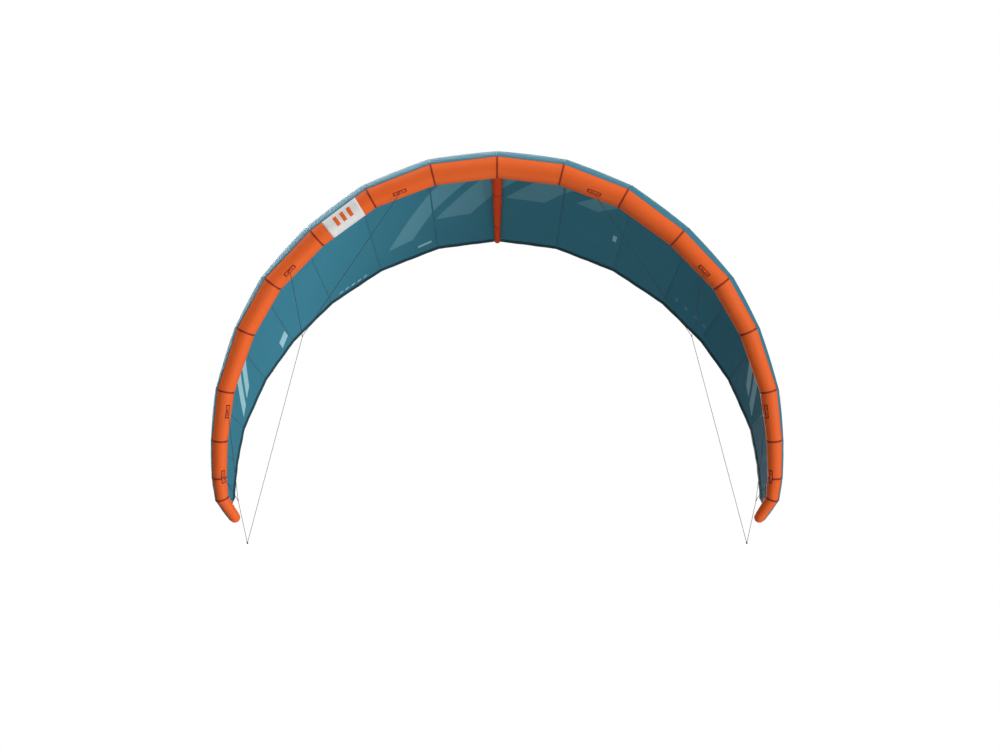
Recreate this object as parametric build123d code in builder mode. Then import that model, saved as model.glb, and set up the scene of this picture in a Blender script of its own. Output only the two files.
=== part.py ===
from build123d import *
import os
from math import acos, atan2, cos, hypot, radians, sin, sqrt

# Single-strut inflatable kitesurf kite, in its flying attitude. Millimetres.
# Origin: the axis of the inflated leading edge in the symmetry plane.
# +X runs along the span, +Y from the leading to the trailing edge, +Z up.
# The arch opens downwards. "left" is -X and "right" is +X.

# ---------------------------------------------------------------- driving dimensions
# Leading edge: ten straight tapered segments a side, from the centre to the wing tip.
SEGMENT_LENGTHS = (402, 410, 415, 394, 344, 398, 322, 243, 143, 156)
SEGMENT_DIHEDRALS = (6.5, 20.5, 35.5, 44.5, 58.5, 69, 81.5, 88, 95.5, 125)  # deg below level
SEGMENT_SWEEPS = (1.5, 4.5, 8, 13, 18, 22, 25, 28, 31, 33)  # deg towards the trailing edge
TUBE_RADII = (72, 71, 69, 66, 63, 59.5, 55, 49.5, 45, 41, 34)  # at the eleven joints
COVER_WALL = 1.2
BLADDER_GAP = 0.3
BLADDER_WALL = 1.0

# Canopy ribs: one at each leading-edge joint.
RIB_CHORDS = (1730, 1715, 1658, 1560, 1412, 1216, 948, 750, 580, 480, 376)
RIB_TOE_IN = (0, 0, 0, 0.3, 1.3, 1.5, 2.2, 3.5, 4.5, 4.0, -7.8)  # deg towards the centre
RIB_RISE = (0, -0.3, -1.0, -1.0, -1.4, -1.8, -2.9, 0, 4.0, 10.0, 23.0)  # deg, chord line up
RIB_CAMBERS = (0.112, 0.112, 0.110, 0.109, 0.101, 0.092, 0.09, 0.09, 0.098, 0.1, 0.095)
FRONT_CONTROL = (0.17, 1.36)  # of a rib's curve: shares of its chord and of its camber
REAR_CONTROL = (0.45, 1.15)
CANOPY_THICKNESS = 2.0
CANOPY_GAP = 1.5  # canopy to leading-edge tube
LAST_PLAIN_BAY = 6  # the ribs beyond this one share one wing-tip panel
HEM_WIDTH = 12
HEM_THICKNESS = 2.6

# Centre strut.
STRUT_RADIUS_FRONT = 48  # if it ran to the leading edge's axis
STRUT_RADIUS_REAR = 19  # if it ran to the trailing edge
# places along the centre rib's curve
STRUT_STATIONS = (0.12, 0.19, 0.27, 0.36, 0.46, 0.56, 0.67, 0.78, 0.89, 0.985)
STRUT_NOSE_STATION = 0.05  # where the cover would end inside the leading edge, before it is trimmed
STRUT_GAP = 1.0

# Bridle, right-hand side; the left is its mirror image.
LINE_DIAMETER = 3.0
UPPER_KNOT = Vector(1200, 171, -1038)
LOWER_KNOT = Vector(1605.5, 485, -2009.3)
END_KNOT = Vector(1537, 420, -2288)
KNOT_RADIUS = 5
END_KNOT_RADIUS = 7
KNOT_CLEARANCE = 0.4
TAB_LENGTH = 88
TAB_WIDTH = 24
TAB_THICKNESS = 2.4
TAB_EYE = (20, 8, 9)
TAB_EYE_SEAT = 1.0  # how deep the eye sits in its patch's outer face
TAB_GAP = 0.1
# segment, place along it, angle from straight ahead round to the hollow side (deg)
TAB_PLACES = ((2, 0.56, 46), (4, 0.66, 35), (7, 0.38, 44), (8, 0.95, 40))

# Inflation valve on the rear of the right-hand first segment, clear of the canopy.
VALVE_PLACE = 0.42
VALVE_TILT = 15  # deg below the chord direction
NECK_RADIUS = 17
NECK_BORE = 12
NECK_OUTSIDE = 14
NECK_INSIDE = 6
NECK_CLEARANCE = 0.4
NECK_OVERLAP = 3  # the hinge ears' roots in the neck's wall
FLANGE_RADIUS = 30
FLANGE_THICKNESS = 2
CAP_RADIUS = 18.5
CAP_THICKNESS = 4
CAP_GAP = 0.3
HINGE_REACH = 23
HINGE_KNUCKLE_RADIUS = 2.5
HINGE_KNUCKLE_WIDTH = 10
HINGE_PIN_RADIUS = 1.2
HINGE_PIN_CLEARANCE = 0.05
EAR_WIDTH = 3
EAR_RADIUS = 3  # round the hinge pin
EAR_GAP = 0.3
EAR_DEPTH = 10

JOINTS = len(TUBE_RADII)
LAST = JOINTS - 1
SIDES = (("left", -1), ("right", 1))


# ---------------------------------------------------------------- reference geometry
def segment_direction(index, side):
    """Unit vector along segment index (from 0), away from the centre."""
    dihedral = radians(SEGMENT_DIHEDRALS[index])
    sweep = radians(SEGMENT_SWEEPS[index])
    return Vector(side * cos(sweep) * cos(dihedral), sin(sweep), -cos(sweep) * sin(dihedral))


def tube_joint(index, side):
    """Centre of the leading-edge tube at joint index."""
    point = Vector(0, 0, 0)
    for k in range(index):
        point += segment_direction(k, side) * SEGMENT_LENGTHS[k]
    return point


def joint_direction(index, side):
    """Direction of the tube at a joint: the normal of its mitre plane."""
    if index == 0:
        return Vector(side, 0, 0)
    if index == LAST:
        return segment_direction(LAST - 1, side)
    return (segment_direction(index - 1, side) + segment_direction(index, side)).normalized()


def chord_direction(index, side):
    """Unit vector from the leading edge to the trailing edge at a rib."""
    toe_in = radians(RIB_TOE_IN[index])
    rise = radians(RIB_RISE[index])
    return Vector(-side * sin(toe_in), sqrt(1 - sin(toe_in) ** 2 - sin(rise) ** 2), sin(rise))


def rib_normal(index, side):
    """Unit vector out of the arch, square to the chord and to the tube."""
    normal = chord_direction(index, side).cross(joint_direction(index, side)) * -side
    return normal.normalized()


def rib_plane(index, side):
    """Plane of a rib: local X along the chord, local Y out of the arch."""
    chord = chord_direction(index, side)
    return Plane(tube_joint(index, side), x_dir=chord, z_dir=chord.cross(rib_normal(index, side)))


def mitre_plane(index, side, along=1, shift=0):
    """Plane across the tube at a joint. along=-1 turns its normal towards the centre."""
    direction = joint_direction(index, side)
    origin = tube_joint(index, side) + direction * shift
    return Plane(origin, x_dir=rib_normal(index, side), z_dir=direction * along)


def rib_control_points(index, side, below=0):
    """Control points of a rib's curve in its plane, moved inwards by below."""
    chord = RIB_CHORDS[index]
    crest = RIB_CAMBERS[index] * chord
    front = (FRONT_CONTROL[0] * chord, FRONT_CONTROL[1] * crest)
    rear = (REAR_CONTROL[0] * chord, REAR_CONTROL[1] * crest)
    tail = (chord, 0)
    # the curve leaves the tube along its tangent towards the first control point
    squeeze = sqrt(1 - chord_direction(index, side).dot(joint_direction(index, side)) ** 2)
    radius = TUBE_RADII[index] + CANOPY_GAP + CANOPY_THICKNESS
    reach = hypot(front[0] * squeeze, front[1])
    angle = atan2(front[1], front[0] * squeeze) + acos(radius / reach)
    nose = (radius * cos(angle) / squeeze, radius * sin(angle))
    lift = atan2(front[1] - nose[1], front[0] - nose[0])
    fall = atan2(rear[1] - tail[1], tail[0] - rear[0])
    lifted = (below * sin(lift), -below * cos(lift))
    fallen = (-below * sin(fall), -below * cos(fall))
    return [
        (nose[0] + lifted[0], nose[1] + lifted[1]),
        (front[0] + lifted[0], front[1] + lifted[1]),
        (rear[0] + fallen[0], rear[1] + fallen[1]),
        (tail[0] + fallen[0], tail[1] + fallen[1]),
    ]


def bezier_point(points, t):
    """Point and unit tangent of a cubic curve at t."""
    weights = ((1 - t) ** 3, 3 * (1 - t) ** 2 * t, 3 * (1 - t) * t**2, t**3)
    place = [sum(w * p[axis] for w, p in zip(weights, points)) for axis in (0, 1)]
    rates = (3 * (1 - t) ** 2, 6 * (1 - t) * t, 3 * t**2)
    slope = []
    for axis in (0, 1):
        slope.append(sum(r * (points[k + 1][axis] - points[k][axis]) for k, r in enumerate(rates)))
    size = hypot(*slope)
    return place, (slope[0] / size, slope[1] / size)


def mirrored(point, side):
    """A right-hand point, on the side asked for."""
    return Vector(side * point.X, point.Y, point.Z)


def surface_plane(segment, place, side, angle):
    """Plane on the tube: normal straight out at angle (deg, 0 ahead, 90 into the arch)."""
    direction = segment_direction(segment, side)
    ahead = Vector(0, -1, 0)
    ahead = (ahead - direction * ahead.dot(direction)).normalized()
    inward = direction.cross(ahead) * side
    if inward.dot(rib_normal(segment, side)) > 0:
        inward = -inward
    normal = ahead * cos(radians(angle)) + inward * sin(radians(angle))
    radius = TUBE_RADII[segment] * (1 - place) + TUBE_RADII[segment + 1] * place
    centre = tube_joint(segment, side) + direction * SEGMENT_LENGTHS[segment] * place
    return Plane(centre + normal * radius, x_dir=direction, z_dir=normal)


# ---------------------------------------------------------------- building blocks
def disc(plane, radius):
    """Round section on a plane."""
    with BuildSketch(plane) as section:
        Circle(radius)
    return section.sketch


def tube_segment(segment, side, change, mode=Mode.ADD):
    """Tapered tube body of one segment, its radius changed by change."""
    ends = [disc(mitre_plane(k, side), TUBE_RADII[k] + change) for k in (segment, segment + 1)]
    loft(ends, ruled=True, mode=mode)


def write(part, name):
    """Label a finished part and write it to its STEP file."""
    part.label = name
    export_step(part, f"parts/{name}.step")


def straight_line(start, end, start_gap, end_gap):
    """A taut line between two points, shortened at its ends."""
    direction = (end - start).normalized()
    length = (end - start).length - start_gap - end_gap
    with BuildPart() as line:
        with BuildSketch(Plane(start + direction * start_gap, z_dir=direction)):
            Circle(LINE_DIAMETER / 2)
        extrude(amount=length)
    return line.part


def bridle_tab(plane, segments, side):
    """Sewn reinforcement patch that hugs its tube segments, with its raised webbing eye."""
    with BuildPart() as shell:
        for segment in segments:
            tube_segment(segment, side, TAB_GAP + TAB_THICKNESS)
        for segment in segments:
            tube_segment(segment, side, TAB_GAP, Mode.SUBTRACT)
    with BuildPart() as tab:
        with BuildSketch(plane.offset(-TAB_WIDTH / 2)):
            Rectangle(TAB_LENGTH, TAB_WIDTH)
        extrude(amount=TAB_WIDTH)
        add(shell.part, mode=Mode.INTERSECT)
        with BuildSketch(plane.offset(TAB_GAP + TAB_THICKNESS - TAB_EYE_SEAT)):
            Rectangle(TAB_EYE[0], TAB_EYE[1])
        extrude(amount=TAB_EYE[2])
    return tab.part


def knot(centre, radius):
    """Round body of a knot."""
    with BuildPart() as ball:
        with Locations(centre):
            Sphere(radius)
    return ball.part


os.makedirs("parts", exist_ok=True)

# ---------------------------------------------------------------- leading edge
valve_seat = surface_plane(0, VALVE_PLACE, 1, 180 - VALVE_TILT)
valve_frame = Plane(valve_seat.origin, x_dir=-valve_seat.x_dir, z_dir=valve_seat.z_dir)

for side_name, side in SIDES:
    for segment in range(LAST):
        has_valve = side == 1 and segment == 0
        with BuildPart() as cover:
            tube_segment(segment, side, 0)
            if segment == LAST - 1:
                with Locations(tube_joint(LAST, side)):
                    Sphere(TUBE_RADII[LAST])
            tube_segment(segment, side, -COVER_WALL, Mode.SUBTRACT)
            if segment == LAST - 1:
                with Locations(tube_joint(LAST, side)):
                    Sphere(TUBE_RADII[LAST] - COVER_WALL, mode=Mode.SUBTRACT)
            if has_valve:
                with BuildSketch(valve_frame.offset(-NECK_RADIUS)):
                    Circle(NECK_RADIUS + NECK_CLEARANCE)
                extrude(amount=2 * NECK_RADIUS, mode=Mode.SUBTRACT)
        write(cover.part, f"le_segment_{segment + 1}_{side_name}")

# One bladder runs through every segment from tip to tip.
with BuildPart() as le_bladder:
    for change, end_shift, mode in (
        (COVER_WALL + BLADDER_GAP, 0, Mode.ADD),
        (COVER_WALL + BLADDER_GAP + BLADDER_WALL, BLADDER_WALL, Mode.SUBTRACT),
    ):
        sections = []
        for signed in range(-LAST, LAST + 1):
            side = -1 if signed < 0 else 1
            index = abs(signed)
            shift = -end_shift if index == LAST else 0
            plane = mitre_plane(index, side, along=side, shift=shift)
            sections.append(disc(plane, TUBE_RADII[index] - change))
        loft(sections, ruled=True, mode=mode)
    with BuildSketch(valve_frame.offset(-NECK_RADIUS)):
        Circle(NECK_RADIUS + NECK_CLEARANCE / 2)
    extrude(amount=2 * NECK_RADIUS, mode=Mode.SUBTRACT)
write(le_bladder.part, "le_bladder")


# ---------------------------------------------------------------- canopy
def canopy_section(index, side):
    """Thin cambered section of the canopy in its rib's plane, short of the hem."""
    with BuildSketch(rib_plane(index, side)) as section:
        with BuildLine():
            top = rib_control_points(index, side)
            under = rib_control_points(index, side, CANOPY_THICKNESS)
            Bezier(*top)
            Line(top[-1], under[-1])
            Bezier(*reversed(under))
            Line(under[0], top[0])
        make_face()
    return section.sketch


def hem_section(index, side):
    """Flat strip section behind the canopy's trailing edge."""
    points = rib_control_points(index, side, CANOPY_THICKNESS / 2)
    tail, (along, across) = bezier_point(points, 1)
    half = HEM_THICKNESS / 2
    corners = []
    for reach, height in ((0, half), (HEM_WIDTH, half), (HEM_WIDTH, -half), (0, -half)):
        behind = tail[0] + along * reach - across * height
        above = tail[1] + across * reach + along * height
        corners.append((behind, above))
    with BuildSketch(rib_plane(index, side)) as section:
        with BuildLine():
            Polyline(*corners, close=True)
        make_face()
    return section.sketch


for side_name, side in SIDES:
    for bay in range(LAST_PLAIN_BAY):
        with BuildPart() as panel:
            loft([canopy_section(index, side) for index in (bay, bay + 1)], ruled=True)
        write(panel.part, f"canopy_panel_{bay + 1}_{side_name}")
    with BuildPart() as tip_panel:
        loft([canopy_section(index, side) for index in range(LAST_PLAIN_BAY, JOINTS)], ruled=True)
    write(tip_panel.part, f"canopy_tip_panel_{side_name}")
    with BuildPart() as hem:
        loft([hem_section(index, side) for index in range(JOINTS)], ruled=True)
    write(hem.part, f"trailing_edge_hem_{side_name}")


# ---------------------------------------------------------------- centre strut
def strut_radius(t):
    """Radius of the strut's cover at t along the centre rib's curve: even taper along the chord."""
    place, _ = bezier_point(rib_control_points(0, 1), t)
    share = place[0] / RIB_CHORDS[0]
    return STRUT_RADIUS_FRONT + (STRUT_RADIUS_REAR - STRUT_RADIUS_FRONT) * share


def strut_plane(t, shift=0):
    """Plane across the strut, which lies just under the canopy's centre line."""
    points = rib_control_points(0, 1, CANOPY_THICKNESS + STRUT_GAP)
    place, (along, across) = bezier_point(points, t)
    radius = strut_radius(t)
    centre = Vector(0, place[0] + across * radius, place[1] - along * radius)
    direction = Vector(0, along, across)
    return Plane(centre + direction * shift, x_dir=(1, 0, 0), z_dir=direction)


with BuildPart() as strut_cover:
    for change, mode in ((0, Mode.ADD), (COVER_WALL, Mode.SUBTRACT)):
        stations = (STRUT_NOSE_STATION, *STRUT_STATIONS)
        sections = [disc(strut_plane(t), strut_radius(t) - change) for t in stations]
        loft(sections, ruled=True, mode=mode)
        with Locations(strut_plane(STRUT_STATIONS[-1]).origin):
            Sphere(strut_radius(STRUT_STATIONS[-1]) - change, mode=mode)
    for side in (-1, 1):
        tube_segment(0, side, TAB_GAP, Mode.SUBTRACT)
write(strut_cover.part, "strut_cover")

with BuildPart() as strut_bladder:
    for change, end_shift, mode in (
        (COVER_WALL + BLADDER_GAP, 0, Mode.ADD),
        (COVER_WALL + BLADDER_GAP + BLADDER_WALL, BLADDER_WALL, Mode.SUBTRACT),
    ):
        shifts = {STRUT_STATIONS[0]: end_shift, STRUT_STATIONS[-1]: -end_shift}
        sections = [disc(strut_plane(t, shifts.get(t, 0)), strut_radius(t) - change) for t in STRUT_STATIONS]
        loft(sections, ruled=True, mode=mode)
write(strut_bladder.part, "strut_bladder")

# ---------------------------------------------------------------- bridle
tab_parts = []
line_ends = {}
for side_name, side in SIDES:
    for number, (segment, place, angle) in enumerate(TAB_PLACES, 1):
        frame = surface_plane(segment - 1, place, side, angle)
        overhang = place * SEGMENT_LENGTHS[segment - 1] + TAB_LENGTH / 2 > SEGMENT_LENGTHS[segment - 1]
        segments = (segment - 1, segment) if overhang else (segment - 1,)
        tab_parts.append(bridle_tab(frame, segments, side))
        reach = TAB_GAP + TAB_THICKNESS - TAB_EYE_SEAT + TAB_EYE[2] / 2
        line_ends[side_name, number] = frame.origin + frame.z_dir * reach

with BuildPart() as bridle_tabs:
    add(tab_parts)
write(bridle_tabs.part, "bridle_tabs")

upper_knots = []
for side_name, side in SIDES:
    upper = mirrored(UPPER_KNOT, side)
    lower = mirrored(LOWER_KNOT, side)
    bottom = mirrored(END_KNOT, side)
    upper_knots += [knot(upper, KNOT_RADIUS), knot(lower, KNOT_RADIUS)]
    tab_gap = hypot(TAB_EYE[0], TAB_EYE[2]) / 2 + KNOT_CLEARANCE
    for number in (1, 2, 3, 4):
        end = upper if number < 3 else lower
        line = straight_line(line_ends[side_name, number], end, tab_gap, KNOT_RADIUS)
        write(line, f"bridle_line_{number}_{side_name}")
    lower_gaps = (KNOT_RADIUS + KNOT_CLEARANCE, END_KNOT_RADIUS)
    write(straight_line(upper, bottom, *lower_gaps), f"bridle_line_main_{side_name}")
    write(straight_line(lower, bottom, *lower_gaps), f"bridle_line_tip_{side_name}")
    write(knot(bottom, END_KNOT_RADIUS), f"bridle_end_knot_{side_name}")

with BuildPart() as bridle_knots:
    add(upper_knots)
write(bridle_knots.part, "bridle_knots")

# ---------------------------------------------------------------- inflation valve
hinge_height = NECK_OUTSIDE + CAP_GAP + CAP_THICKNESS / 2
ear_place = HINGE_KNUCKLE_WIDTH / 2 + EAR_GAP + EAR_WIDTH / 2


def on_hinge(offset, width):
    """Plane square to the hinge axis, offset along it by offset - width / 2."""
    origin = valve_frame.from_local_coords(Vector(offset - width / 2, HINGE_REACH, hinge_height))
    return Plane(origin, x_dir=valve_frame.y_dir, z_dir=valve_frame.x_dir)


with BuildPart() as valve_body:
    with BuildSketch(valve_frame.offset(-FLANGE_RADIUS)):
        Circle(FLANGE_RADIUS)
    extrude(amount=2 * FLANGE_RADIUS)
    tube_segment(0, 1, TAB_GAP + FLANGE_THICKNESS, Mode.INTERSECT)
    tube_segment(0, 1, TAB_GAP, Mode.SUBTRACT)
    with BuildSketch(valve_frame.offset(-NECK_INSIDE)):
        Circle(NECK_RADIUS)
    extrude(amount=NECK_INSIDE + NECK_OUTSIDE)
    ear_root = NECK_RADIUS - NECK_OVERLAP - HINGE_REACH
    ear_top = -CAP_THICKNESS / 2 - CAP_GAP
    for offset in (-ear_place, ear_place):
        with BuildSketch(on_hinge(offset, EAR_WIDTH)):
            with Locations(((ear_root + EAR_RADIUS) / 2, (ear_top - EAR_DEPTH) / 2)):
                Rectangle(EAR_RADIUS - ear_root, ear_top + EAR_DEPTH)
            with Locations((0, -EAR_DEPTH / 2)):
                Rectangle(2 * EAR_RADIUS, EAR_DEPTH)
            Circle(EAR_RADIUS)
            Circle(HINGE_PIN_RADIUS + HINGE_PIN_CLEARANCE, mode=Mode.SUBTRACT)
        extrude(amount=EAR_WIDTH)
    with BuildSketch(valve_frame.offset(-FLANGE_RADIUS)):
        Circle(NECK_BORE)
    extrude(amount=3 * FLANGE_RADIUS, mode=Mode.SUBTRACT)
write(valve_body.part, "valve_body")

with BuildPart() as valve_cap:
    with BuildSketch(valve_frame.offset(NECK_OUTSIDE + CAP_GAP)):
        Circle(CAP_RADIUS)
        with Locations((0, HINGE_REACH / 2)):
            Rectangle(HINGE_KNUCKLE_WIDTH, HINGE_REACH)
    extrude(amount=CAP_THICKNESS)
    with BuildSketch(on_hinge(0, HINGE_KNUCKLE_WIDTH)):
        Circle(HINGE_KNUCKLE_RADIUS)
    extrude(amount=HINGE_KNUCKLE_WIDTH)
    pin_length = HINGE_KNUCKLE_WIDTH + 2 * (EAR_GAP + EAR_WIDTH)
    with BuildSketch(on_hinge(0, pin_length)):
        Circle(HINGE_PIN_RADIUS)
    extrude(amount=pin_length)
write(valve_cap.part, "valve_cap")

# ---------------------------------------------------------------- figures for the record
bore_centre = valve_frame.origin + valve_frame.z_dir * (NECK_OUTSIDE - NECK_INSIDE) / 2
print("inflation bore centre", bore_centre, "axis", valve_frame.z_dir)
hinge_centre = valve_frame.from_local_coords(Vector(0, HINGE_REACH, hinge_height))
print("cap hinge", hinge_centre, "opening axis", -valve_frame.x_dir)
for side_name, side in SIDES:
    print(side_name, "tip", tube_joint(LAST, side))
    for number in (1, 2, 3, 4):
        print(side_name, "tab", number, line_ends[side_name, number])
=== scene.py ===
import math

import bpy
import numpy as np
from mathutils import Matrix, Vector


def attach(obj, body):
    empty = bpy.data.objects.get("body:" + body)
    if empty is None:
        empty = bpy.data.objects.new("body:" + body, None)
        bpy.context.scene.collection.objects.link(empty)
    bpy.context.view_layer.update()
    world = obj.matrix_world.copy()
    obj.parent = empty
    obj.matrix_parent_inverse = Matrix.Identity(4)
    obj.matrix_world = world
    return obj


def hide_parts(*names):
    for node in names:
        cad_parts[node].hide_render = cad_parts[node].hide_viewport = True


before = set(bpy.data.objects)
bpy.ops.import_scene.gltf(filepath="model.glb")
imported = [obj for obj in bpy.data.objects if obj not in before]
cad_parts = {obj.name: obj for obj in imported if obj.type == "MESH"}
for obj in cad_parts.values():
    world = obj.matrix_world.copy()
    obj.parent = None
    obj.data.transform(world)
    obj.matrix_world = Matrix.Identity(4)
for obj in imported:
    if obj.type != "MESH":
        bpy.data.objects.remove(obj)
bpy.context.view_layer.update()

# ------------------------------------------------------------------ driving dimensions
# The kite's own sizes, as in the CAD model: metres and degrees, from the centre to a wing tip.
SEGMENT_LENGTHS = (0.402, 0.410, 0.415, 0.394, 0.344, 0.398, 0.322, 0.243, 0.143, 0.156)
SEGMENT_DIHEDRALS = (6.5, 20.5, 35.5, 44.5, 58.5, 69, 81.5, 88, 95.5, 125)
SEGMENT_SWEEPS = (1.5, 4.5, 8, 13, 18, 22, 25, 28, 31, 33)
TUBE_RADII = (0.072, 0.071, 0.069, 0.066, 0.063, 0.0595, 0.055, 0.0495, 0.045, 0.041, 0.034)
RIB_CHORDS = (1.730, 1.715, 1.658, 1.560, 1.412, 1.216, 0.948, 0.750, 0.580, 0.480, 0.376)
RIB_TOE_IN = (0, 0, 0, 0.3, 1.3, 1.5, 2.2, 3.5, 4.5, 4.0, -7.8)
RIB_RISE = (0, -0.3, -1.0, -1.0, -1.4, -1.8, -2.9, 0, 4.0, 10.0, 23.0)
RIB_CAMBERS = (0.112, 0.112, 0.110, 0.109, 0.101, 0.092, 0.09, 0.09, 0.098, 0.1, 0.095)
# Inner control points of a rib's curve: share of its chord, and of its crest's height.
FRONT_CONTROL = (0.17, 1.36)
REAR_CONTROL = (0.45, 1.15)
LAST = len(SEGMENT_LENGTHS)
LAST_PLAIN_BAY = 6  # beyond it, one CAD panel a side makes the wing tip
SIDES = (("left", -1), ("right", 1))

CLOTH_THICKNESS = 0.0008
CLOTH_REST = 0.0026  # the canopy's middle above the tube where it leaves it
FLANGE_REST = 0.0012  # and at the front edge of its sewn flange
FLANGE_ANGLE = 15  # degrees of the tube that the flange covers
FLANGE_STEPS = 24
COVER_THICKNESS = 0.0008
HEM_IN = 0.030  # hem tape before the trailing edge and behind it
HEM_OUT = 0.0115
LINE_DIAMETER = 0.003
UPPER_KNOT = Vector((1.200, 0.171, -1.038))
LOWER_KNOT = Vector((1.6055, 0.485, -2.0093))
END_KNOT = Vector((1.537, 0.420, -2.288))
TAB_LENGTH = 0.088
TAB_WIDTH = 0.024
TAB_PLACES = ((2, 0.56, 46), (4, 0.66, 35), (7, 0.38, 44), (8, 0.95, 40))
VALVE_PLACE = 0.42  # along the right-hand first segment
VALVE_ANGLE = 255
VALVE_OPENING = 0.020  # radius of the hole in the cover, under the valve's flange
STRUT_RADIUS_FRONT = 0.048
STRUT_RADIUS_REAR = 0.019

# How far the cloth leaves its plain shape, and how soon it is back from a seam.
BAY_BULGE = 0.020  # of a bay's width
FRONT_PUCKER = 0.0009
SEAM_PULL = 0.0008
TAIL_WAVE = 0.0011
NIP_DEPTH = 0.0006
NIP_FADE = 0.008
CREASE_DEPTH = 0.0006
CREASE_FADE = 0.030


def radial(degrees):
    """Sine and cosine of an angle in degrees."""
    return math.sin(math.radians(degrees)), math.cos(math.radians(degrees))


# ------------------------------------------------------------------ reference geometry
def segment_direction(index, side):
    """Outwards along a segment of the leading edge."""
    down, level = radial(SEGMENT_DIHEDRALS[index])
    back, out = radial(SEGMENT_SWEEPS[index])
    return Vector((side * out * level, back, -out * down))


def tube_joint(index, side):
    """Where two segments' axes meet; 0 is the centre and LAST the tip."""
    point = Vector()
    for k in range(index):
        point += segment_direction(k, side) * SEGMENT_LENGTHS[k]
    return point


def joint_direction(index, side):
    """Outwards across a joint, square to its mitre."""
    if index == 0:
        return Vector((side, 0, 0))
    if index == LAST:
        return segment_direction(LAST - 1, side)
    return (segment_direction(index - 1, side) + segment_direction(index, side)).normalized()


def chord_direction(index, side):
    """From the leading edge to the trailing edge along a rib."""
    toe, _ = radial(RIB_TOE_IN[index])
    rise, _ = radial(RIB_RISE[index])
    return Vector((-side * toe, math.sqrt(1 - toe**2 - rise**2), rise))


def rib_normal(index, side):
    """Out of the arch, square to a rib's chord."""
    return (chord_direction(index, side).cross(joint_direction(index, side)) * -side).normalized()


def rib_controls(index, side):
    """Control points of a rib's curve, as (along the chord, out of the arch).

    Also the angle at which it leaves the tube, and how narrow the tube looks square to the chord."""
    chord = RIB_CHORDS[index]
    crest = RIB_CAMBERS[index] * chord
    front = (FRONT_CONTROL[0] * chord, FRONT_CONTROL[1] * crest)
    rear = (REAR_CONTROL[0] * chord, REAR_CONTROL[1] * crest)
    squeeze = math.sqrt(1 - chord_direction(index, side).dot(joint_direction(index, side)) ** 2)
    radius = TUBE_RADII[index] + CLOTH_REST
    reach = math.hypot(front[0] * squeeze, front[1])
    angle = math.atan2(front[1], front[0] * squeeze) + math.acos(radius / reach)
    nose = (radius * math.cos(angle) / squeeze, radius * math.sin(angle))
    return (nose, front, rear, (chord, 0.0)), angle, squeeze


def bezier(points, t):
    """Cubic curve's point or points at t."""
    t = np.asarray(t)[..., None]
    a, b, c, d = (np.array(p) for p in points)
    return (1 - t) ** 3 * a + 3 * (1 - t) ** 2 * t * b + 3 * (1 - t) * t**2 * c + t**3 * d


def rib_curve(index, side, steps=400):
    """Points of a rib's line in space, evenly spaced along it, and its length.

    It starts with the flange that is sewn to the tube and goes on as the free canopy."""
    controls, angle, squeeze = rib_controls(index, side)
    turn = np.radians(np.linspace(FLANGE_ANGLE, 0, FLANGE_STEPS, endpoint=False)) + angle
    rest = np.linspace(FLANGE_REST, CLOTH_REST, FLANGE_STEPS, endpoint=False)
    radius = TUBE_RADII[index] + rest
    flange = np.stack([radius * np.cos(turn) / squeeze, radius * np.sin(turn)], axis=1)
    flat = np.concatenate([flange, bezier(controls, np.linspace(0, 1, steps))])
    gone = np.concatenate([[0], np.cumsum(np.linalg.norm(np.diff(flat, axis=0), axis=1))])
    even = np.linspace(0, gone[-1], steps)
    along = np.interp(even, gone, flat[:, 0])
    out = np.interp(even, gone, flat[:, 1])
    origin = np.array(tube_joint(index, side))
    chord = np.array(chord_direction(index, side))
    normal = np.array(rib_normal(index, side))
    return origin + along[:, None] * chord + out[:, None] * normal, gone[-1]


STARTS = np.concatenate([[0], np.cumsum(SEGMENT_LENGTHS)])  # distance of each joint along the tube
RIBS = {side: [rib_curve(k, side) for k in range(LAST + 1)] for _, side in SIDES}
RIB_NORMALS = {side: [np.array(rib_normal(k, side)) for k in range(LAST + 1)] for _, side in SIDES}


def smooth(low, high, value):
    """0 below low, 1 above high, and a smooth step between them."""
    share = np.clip((value - low) / (high - low), 0, 1)
    return share * share * (3 - 2 * share)


def canopy_column(side, bay, across, shares, lift=0.0):
    """Points of the canopy across its bay (0 to 1), at shares of the rib's length (0 to 1).

    The cloth bulges a little between its seams and puckers where it is sewn."""
    (near, near_length), (far, far_length) = RIBS[side][bay], RIBS[side][bay + 1]
    steps = np.linspace(0, 1, len(near))
    shares = np.asarray(shares, dtype=float)
    a = np.stack([np.interp(shares, steps, near[:, k]) for k in range(3)], axis=1)
    b = np.stack([np.interp(shares, steps, far[:, k]) for k in range(3)], axis=1)
    normal = RIB_NORMALS[side][bay] * (1 - across) + RIB_NORMALS[side][bay + 1] * across
    width = SEGMENT_LENGTHS[bay]
    reach = shares * (near_length * (1 - across) + far_length * across)
    span = STARTS[bay] + across * width
    swell = 4 * across * (1 - across) * smooth(0.03, 0.2, shares) * (1 - 0.85 * shares**2)
    gather = math.sin(span * 78 + 2 * math.sin(span * 11))
    pucker = np.exp(-reach / 0.09) * smooth(0.02, 0.06, reach) * gather
    edge = min(across, 1 - across) * width
    wave = np.sin(reach * 70 + 3 * np.sin(reach * 9 + bay))
    pull = math.exp(-edge / 0.03) * smooth(0.0, 0.012, edge) * wave
    tail = smooth(0.92, 1.0, shares) * math.sin(span * 40 + bay) * math.sin(math.pi * across)
    creases = FRONT_PUCKER * pucker + SEAM_PULL * pull * smooth(0.05, 0.12, shares) + TAIL_WAVE * tail
    bulge = BAY_BULGE * width * swell + creases + lift
    return a * (1 - across) + b * across + normal * bulge[:, None]


def canopy_point(side, bay, across, share, lift=0.0):
    return canopy_column(side, bay, across, [share], lift)[0]


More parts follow.
